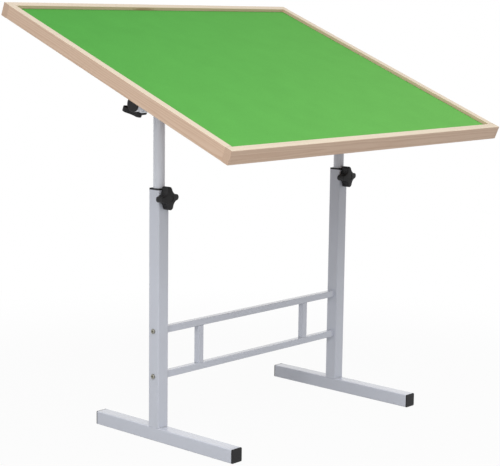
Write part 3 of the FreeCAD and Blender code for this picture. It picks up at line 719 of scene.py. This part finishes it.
class JigsawTableLayWelds(bpy.types.Operator):
    """Lays weld beads from posts to feet, from the brace's uprights to its bars and between the tubes"""
    bl_idname = "jigsaw_table.lay_welds"
    bl_label = "Lay Welds"

    def execute(self, context):
        size = settings(context, "welds")
        sizes = {"Bead Radius": size.bead, "Ripple Spacing": size.ripple, "Ripple Depth": size.ripple_depth,
                 "Step": size.step}
        tree = weld_bead_tree()
        points = []
        edges = []
        for side in SIDES:
            low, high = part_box("post_" + side)
            for y in (low.y, high.y):
                straight_path(points, edges, (low.x + size.bead, y, low.z), (high.x - size.bead, y, low.z))
            low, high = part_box("brace_upright_" + side)
            for x in (low.x, high.x):
                for z in (low.z, high.z):
                    straight_path(points, edges, (x, low.y + size.bead, z), (x, high.y - size.bead, z))
        base = grown_piece("base_welds", points, edges, tree, sizes,
                           bpy.data.materials["powder_coated_steel"])
        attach(base, "base")
        points = []
        edges = []
        round_points = 48
        low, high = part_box("cross_tube")
        cross_radius = (high.z - low.z) / 2
        for side in SIDES:
            low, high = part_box("inner_tube_" + side)
            middle = (low + high) / 2
            tube_radius = (high.x - low.x) / 2
            first = len(points)
            for step in range(round_points):
                angle = 2 * math.pi * step / round_points
                y = tube_radius * math.sin(angle)
                z = TILT_AXIS.z - math.sqrt(cross_radius ** 2 - y ** 2)
                points.append((middle.x + tube_radius * math.cos(angle), middle.y + y, z))
                edges.append((first + step, first + (step + 1) % round_points))
        # The welds on the cross tube take the tubes' paler copy of the coat, painted light for the board's
        # shade.
        riser = grown_piece("riser_welds", points, edges, tree, sizes,
                            bpy.data.materials["pale_powder_coated_steel"])
        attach(riser, "riser")
        return {"FINISHED"}


def stud_thread_tree():
    """A stud along Z, centred on the origin, with a V thread that runs out at both ends."""
    ring_points = 24
    rings_per_pitch = 4.0
    tree, given = new_geometry_tree("stud_thread", ("Length", "Radius", "Pitch", "Depth", "Chamfer"))
    turns = add_node(tree, "ShaderNodeMath", {0: given["Length"], 1: given["Pitch"]}, operation="DIVIDE")
    segments = add_node(tree, "ShaderNodeMath", {0: turns.outputs["Value"], 1: rings_per_pitch},
                        operation="MULTIPLY")
    rod = add_node(tree, "GeometryNodeMeshCylinder",
                   {"Vertices": ring_points, "Side Segments": segments.outputs["Value"], "Radius": 1.0,
                    "Depth": given["Length"]})
    position = add_node(tree, "GeometryNodeInputPosition").outputs["Position"]
    place = add_node(tree, "ShaderNodeSeparateXYZ", {"Vector": position})
    angle = add_node(tree, "ShaderNodeMath", {0: place.outputs["Y"], 1: place.outputs["X"]},
                     operation="ARCTAN2")
    turn = add_node(tree, "ShaderNodeMath", {0: angle.outputs["Value"], 1: 2 * math.pi}, operation="DIVIDE")
    climb = add_node(tree, "ShaderNodeMath", {0: place.outputs["Z"], 1: given["Pitch"]}, operation="DIVIDE")
    screw = add_node(tree, "ShaderNodeMath", {0: climb.outputs["Value"], 1: turn.outputs["Value"]},
                     operation="SUBTRACT")
    # Each pitch climbs one flank of the thread and falls down the other.
    flank = add_node(tree, "ShaderNodeMath", {0: screw.outputs["Value"], 1: 0.5}, operation="PINGPONG")
    height = add_node(tree, "ShaderNodeMath", {0: place.outputs["Z"]}, operation="ABSOLUTE")
    half = add_node(tree, "ShaderNodeMath", {0: given["Length"], 1: 0.5}, operation="MULTIPLY")
    left = add_node(tree, "ShaderNodeMath", {0: half.outputs["Value"], 1: height.outputs["Value"]},
                    operation="SUBTRACT")
    fade = add_node(tree, "ShaderNodeMapRange",
                    {"Value": left.outputs["Value"], "From Max": given["Chamfer"]})
    crest = add_node(tree, "ShaderNodeMath", {0: flank.outputs["Value"], 1: 2.0}, operation="MULTIPLY")
    ridge = add_node(tree, "ShaderNodeMath", {0: crest.outputs["Value"], 1: fade.outputs["Result"]},
                     operation="MULTIPLY")
    core = add_node(tree, "ShaderNodeMath", {0: given["Radius"], 1: given["Depth"]}, operation="SUBTRACT")
    radius = add_node(tree, "ShaderNodeMath",
                      {0: ridge.outputs["Value"], 1: given["Depth"], 2: core.outputs["Value"]},
                      operation="MULTIPLY_ADD")
    scale = add_node(tree, "ShaderNodeCombineXYZ",
                     {"X": radius.outputs["Value"], "Y": radius.outputs["Value"], "Z": 1.0})
    cut = add_node(tree, "ShaderNodeVectorMath", {0: position, 1: scale.outputs["Vector"]},
                   operation="MULTIPLY")
    thread = add_node(tree, "GeometryNodeSetPosition",
                      {"Geometry": rod.outputs["Mesh"], "Position": cut.outputs["Vector"]})
    finish_geometry_tree(tree, given, thread.outputs["Geometry"])
    return tree


class JigsawTableCutThreads(bpy.types.Operator):
    """Cuts the M8 thread of the four knob studs"""
    bl_idname = "jigsaw_table.cut_threads"
    bl_label = "Cut Threads"

    def execute(self, context):
        size = settings(context, "fasteners")
        tree = stud_thread_tree()
        zinc = bpy.data.materials["zinc_plated_steel"]
        for side in SIDES:
            low, high = board_box("tilt_stud_" + side)
            upright = BOARD @ Matrix.Translation((low + high) / 2)
            self.cut(tree, size, zinc, "tilt", side, high.z - low.z, (high.x - low.x) / 2, upright)
            low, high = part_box("height_stud_" + side)
            level = Matrix.Translation((low + high) / 2) @ Matrix.Rotation(QUARTER_TURN, 4, "X")
            self.cut(tree, size, zinc, "height", side, high.y - low.y, (high.x - low.x) / 2, level)
        return {"FINISHED"}

    def cut(self, tree, size, material, joint, side, length, radius, place):
        """Makes one threaded stud and gives it to its knob."""
        sizes = {"Length": length, "Radius": radius, "Pitch": size.pitch, "Depth": size.thread_depth,
                 "Chamfer": size.chamfer}
        stud = grown_piece(joint + "_thread_" + side, [], [], tree, sizes, material)
        stud.data.transform(place)
        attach(stud, joint + "_knob_" + side)
        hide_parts(joint + "_stud_" + side)


def clamp_screw_tree():
    """A countersunk screw with a cross recess at each point, its head down and its point up."""
    head_points = 32
    shank_points = 16
    seed = 7
    tree, given = new_geometry_tree("clamp_screw",
                                    ("Head", "Head Height", "Shank", "Length", "Recess", "Recess Width",
                                     "Recess Depth"))
    head_radius = add_node(tree, "ShaderNodeMath", {0: given["Head"], 1: 0.5},
                           operation="MULTIPLY").outputs["Value"]
    shank_radius = add_node(tree, "ShaderNodeMath", {0: given["Shank"], 1: 0.5},
                            operation="MULTIPLY").outputs["Value"]
    head = add_node(tree, "GeometryNodeMeshCone",
                    {"Vertices": head_points, "Radius Top": shank_radius, "Radius Bottom": head_radius,
                     "Depth": given["Head Height"]})
    bars = []
    # The bars lie half inside the head.
    deep = add_node(tree, "ShaderNodeMath", {0: given["Recess Depth"], 1: 2.0},
                    operation="MULTIPLY").outputs["Value"]
    for axes in (("X", "Y"), ("Y", "X")):
        extent = add_node(tree, "ShaderNodeCombineXYZ",
                          {axes[0]: given["Recess"], axes[1]: given["Recess Width"], "Z": deep})
        bars.append(add_node(tree, "GeometryNodeMeshCube", {"Size": extent.outputs["Vector"]}))
    crossed = add_node(tree, "GeometryNodeMeshBoolean", operation="DIFFERENCE")
    tree.links.new(head.outputs["Mesh"], crossed.inputs["Mesh 1"])
    for bar in bars:
        tree.links.new(bar.outputs["Mesh"], crossed.inputs["Mesh 2"])
    point = add_node(tree, "GeometryNodeMeshCone",
                     {"Vertices": shank_points, "Radius Top": 0.0, "Radius Bottom": shank_radius,
                      "Depth": given["Length"]})
    screw = add_node(tree, "GeometryNodeJoinGeometry")
    tree.links.new(crossed.outputs["Mesh"], screw.inputs["Geometry"])
    tree.links.new(point.outputs["Mesh"], screw.inputs["Geometry"])
    turned = add_node(tree, "FunctionNodeRandomValue",
                      {"Min": (0, 0, 0), "Max": (0, 0, math.pi), "Seed": seed}, data_type="FLOAT_VECTOR")
    driven = add_node(tree, "GeometryNodeInstanceOnPoints",
                      {"Points": given["Geometry"], "Instance": screw.outputs["Geometry"],
                       "Rotation": turned.outputs["Value"]})
    finish_geometry_tree(tree, given, driven.outputs["Instances"])
    return tree


class JigsawTableDriveScrews(bpy.types.Operator):
    """Drives the screws that hold the clamp plates to the board's bearers"""
    bl_idname = "jigsaw_table.drive_screws"
    bl_label = "Drive Clamp Screws"

    def execute(self, context):
        size = settings(context, "fasteners")
        points = []
        for side in SIDES:
            low, high = board_box("clamp_plate_" + side)
            for x in (low.x + size.inset, high.x - size.inset):
                for y in (low.y + size.inset, high.y - size.inset):
                    points.append((x, y, low.z))
        sizes = {"Head": size.head, "Head Height": size.head_height, "Shank": size.shank,
                 "Length": size.length, "Recess": size.recess, "Recess Width": size.recess_width,
                 "Recess Depth": size.recess_depth}
        screws = grown_piece("driven_screws", points, [], clamp_screw_tree(), sizes,
                             bpy.data.materials["zinc_plated_steel"])
        screws.data.transform(BOARD)
        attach(screws, "board")
        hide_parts("clamp_screws")
        return {"FINISHED"}


# Stage

def seen_directly(tree):
    """1 for rays that see a surface straight, mirrored or through glass, and 0 for light falling on it."""
    path = add_node(tree, "ShaderNodeLightPath")
    mirrored = add_node(tree, "ShaderNodeMath",
                        {0: path.outputs["Is Camera Ray"], 1: path.outputs["Is Glossy Ray"]},
                        operation="MAXIMUM")
    return add_node(tree, "ShaderNodeMath",
                    {0: mirrored.outputs["Value"], 1: path.outputs["Is Transmission Ray"]},
                    operation="MAXIMUM").outputs["Value"]


def soft_lamp(name, place, target, size, power):
    """A large square lamp that faces the target."""
    light = bpy.data.lights.new(name, "AREA")
    light.size = size
    light.energy = power
    lamp = new_object(name, light)
    lamp.location = place
    lamp.rotation_euler = (Vector(target) - Vector(place)).to_track_quat("-Z", "Y").to_euler()


class JigsawTableBuildStage(bpy.types.Operator):
    """Sets the white floor, the soft light and the camera"""
    bl_idname = "jigsaw_table.build_stage"
    bl_label = "Build Stage"

    def execute(self, context):
        stage = settings(context, "stage")
        self.lay_floor(stage)
        self.light(context.scene, stage)
        self.aim_camera(context.scene, stage)
        context.scene.view_settings.view_transform = "Standard"
        return {"FINISHED"}

    def lay_floor(self, stage):
        """White floor, bright enough to reach white, that still takes a soft shadow."""
        half = stage.floor / 2
        mesh = bpy.data.meshes.new("floor")
        corners = [(-half, -half, 0), (half, -half, 0), (half, half, 0), (-half, half, 0)]
        mesh.from_pydata(corners, [], [range(len(corners))])
        material, tree, place = new_material("white_floor")
        cloud_width = 300 * MM
        grain = add_node(tree, "ShaderNodeTexNoise", {"Vector": place, "Scale": 1 / cloud_width})
        colour = add_node(tree, "ShaderNodeMix",
                          {0: grain.outputs["Fac"], 6: shade(WHITE, FLOOR_DARK),
                           7: shade(WHITE, FLOOR_PALE)}, data_type="RGBA")
        matt = add_node(tree, "ShaderNodeBsdfDiffuse", {"Color": colour.outputs[2]})
        glow = add_node(tree, "ShaderNodeEmission", {"Color": shade(WHITE), "Strength": 1.0})
        # Away from the table the floor fades into the white around it.
        away = add_node(tree, "ShaderNodeVectorMath", {0: place}, operation="LENGTH")
        fade = add_node(tree, "ShaderNodeMapRange",
                        {"Value": away.outputs["Value"], "From Min": WHITE_NEAR, "From Max": WHITE_FAR,
                         "To Min": WHITE_NEAR_SHARE}, interpolation_type="SMOOTHSTEP")
        share = add_node(tree, "ShaderNodeMath", {0: seen_directly(tree), 1: fade.outputs["Result"]},
                         operation="MULTIPLY")
        white = add_node(tree, "ShaderNodeMixShader",
                         {0: share.outputs["Value"], 1: matt.outputs["BSDF"], 2: glow.outputs["Emission"]})
        add_node(tree, "ShaderNodeOutputMaterial", {"Surface": white.outputs["Shader"]})
        mesh.materials.append(material)
        new_object("floor", mesh)

    def light(self, scene, stage):
        """Light from all round, strongest overhead, and three broad lamps at the front and left."""
        scene.world = bpy.data.worlds.new("white_surroundings")
        scene.world.use_nodes = True
        tree = scene.world.node_tree
        tree.nodes.clear()
        towards = add_node(tree, "ShaderNodeTexCoord").outputs["Generated"]
        upward = add_node(tree, "ShaderNodeSeparateXYZ", {"Vector": towards}).outputs["Z"]
        dome = add_node(tree, "ShaderNodeMapRange",
                        {"Value": upward, "To Min": stage.horizon, "To Max": stage.zenith})
        strength = add_node(tree, "ShaderNodeMapRange",
                            {"Value": seen_directly(tree), "To Min": dome.outputs["Result"], "To Max": 1.0})
        around = add_node(tree, "ShaderNodeBackground",
                          {"Color": shade(WHITE), "Strength": strength.outputs["Result"]})
        add_node(tree, "ShaderNodeOutputWorld", {"Surface": around.outputs["Background"]})
        for name, (place, target, width) in LAMPS.items():
            soft_lamp(name + "_lamp", place, target, width, getattr(stage, name + "_power"))

    def aim_camera(self, scene, stage):
        """The camera at its place, turned by its heading, pitch and roll."""
        data = bpy.data.cameras.new("camera")
        data.lens = stage.lens
        data.sensor_width = SENSOR_WIDTH
        data.clip_end = CLIP_END
        camera = new_object("camera", data)
        upright = Matrix.Rotation(QUARTER_TURN, 4, "X")
        turned = Matrix.Rotation(-stage.camera_heading, 4, "Z")
        raised = Matrix.Rotation(stage.camera_pitch, 4, "X")
        rolled = Matrix.Rotation(stage.camera_roll, 4, "Z")
        camera.matrix_world = Matrix.Translation(stage.camera_place) @ turned @ raised @ upright @ rolled
        scene.camera = camera


OPERATORS = [
    JigsawTableFinishMetal,
    JigsawTableFinishTimber,
    JigsawTableLayFelt,
    JigsawTableLayWelds,
    JigsawTableCutThreads,
    JigsawTableDriveScrews,
    JigsawTableBuildStage,
]


class JigsawTablePanel(bpy.types.Panel):
    """Sizes, colours and steps of the jigsaw table"""
    bl_idname = "VIEW3D_PT_jigsaw_table"
    bl_label = "Jigsaw Table"
    bl_space_type = "VIEW_3D"
    bl_region_type = "UI"
    bl_category = "Jigsaw Table"

    def draw(self, context):
        for group, kind in SETTINGS.items():
            box = self.layout.box()
            box.label(text=group.capitalize())
            for name in kind.__annotations__:
                box.prop(settings(context, group), name)
        for operator in OPERATORS:
            self.layout.operator(operator.bl_idname)


def register():
    for kind in list(SETTINGS.values()) + OPERATORS + [JigsawTablePanel]:
        bpy.utils.register_class(kind)
    for group, kind in SETTINGS.items():
        setattr(bpy.types.Scene, "jigsaw_table_" + group, bpy.props.PointerProperty(type=kind))


def unregister():
    for group in SETTINGS:
        delattr(bpy.types.Scene, "jigsaw_table_" + group)
    for kind in reversed(list(SETTINGS.values()) + OPERATORS + [JigsawTablePanel]):
        bpy.utils.unregister_class(kind)


def main():
    register()
    bpy.ops.jigsaw_table.finish_metal()
    bpy.ops.jigsaw_table.finish_timber()
    bpy.ops.jigsaw_table.lay_felt()
    bpy.ops.jigsaw_table.lay_welds()
    bpy.ops.jigsaw_table.cut_threads()
    bpy.ops.jigsaw_table.drive_screws()
    bpy.ops.jigsaw_table.build_stage()


if __name__ == "__main__":
    main()
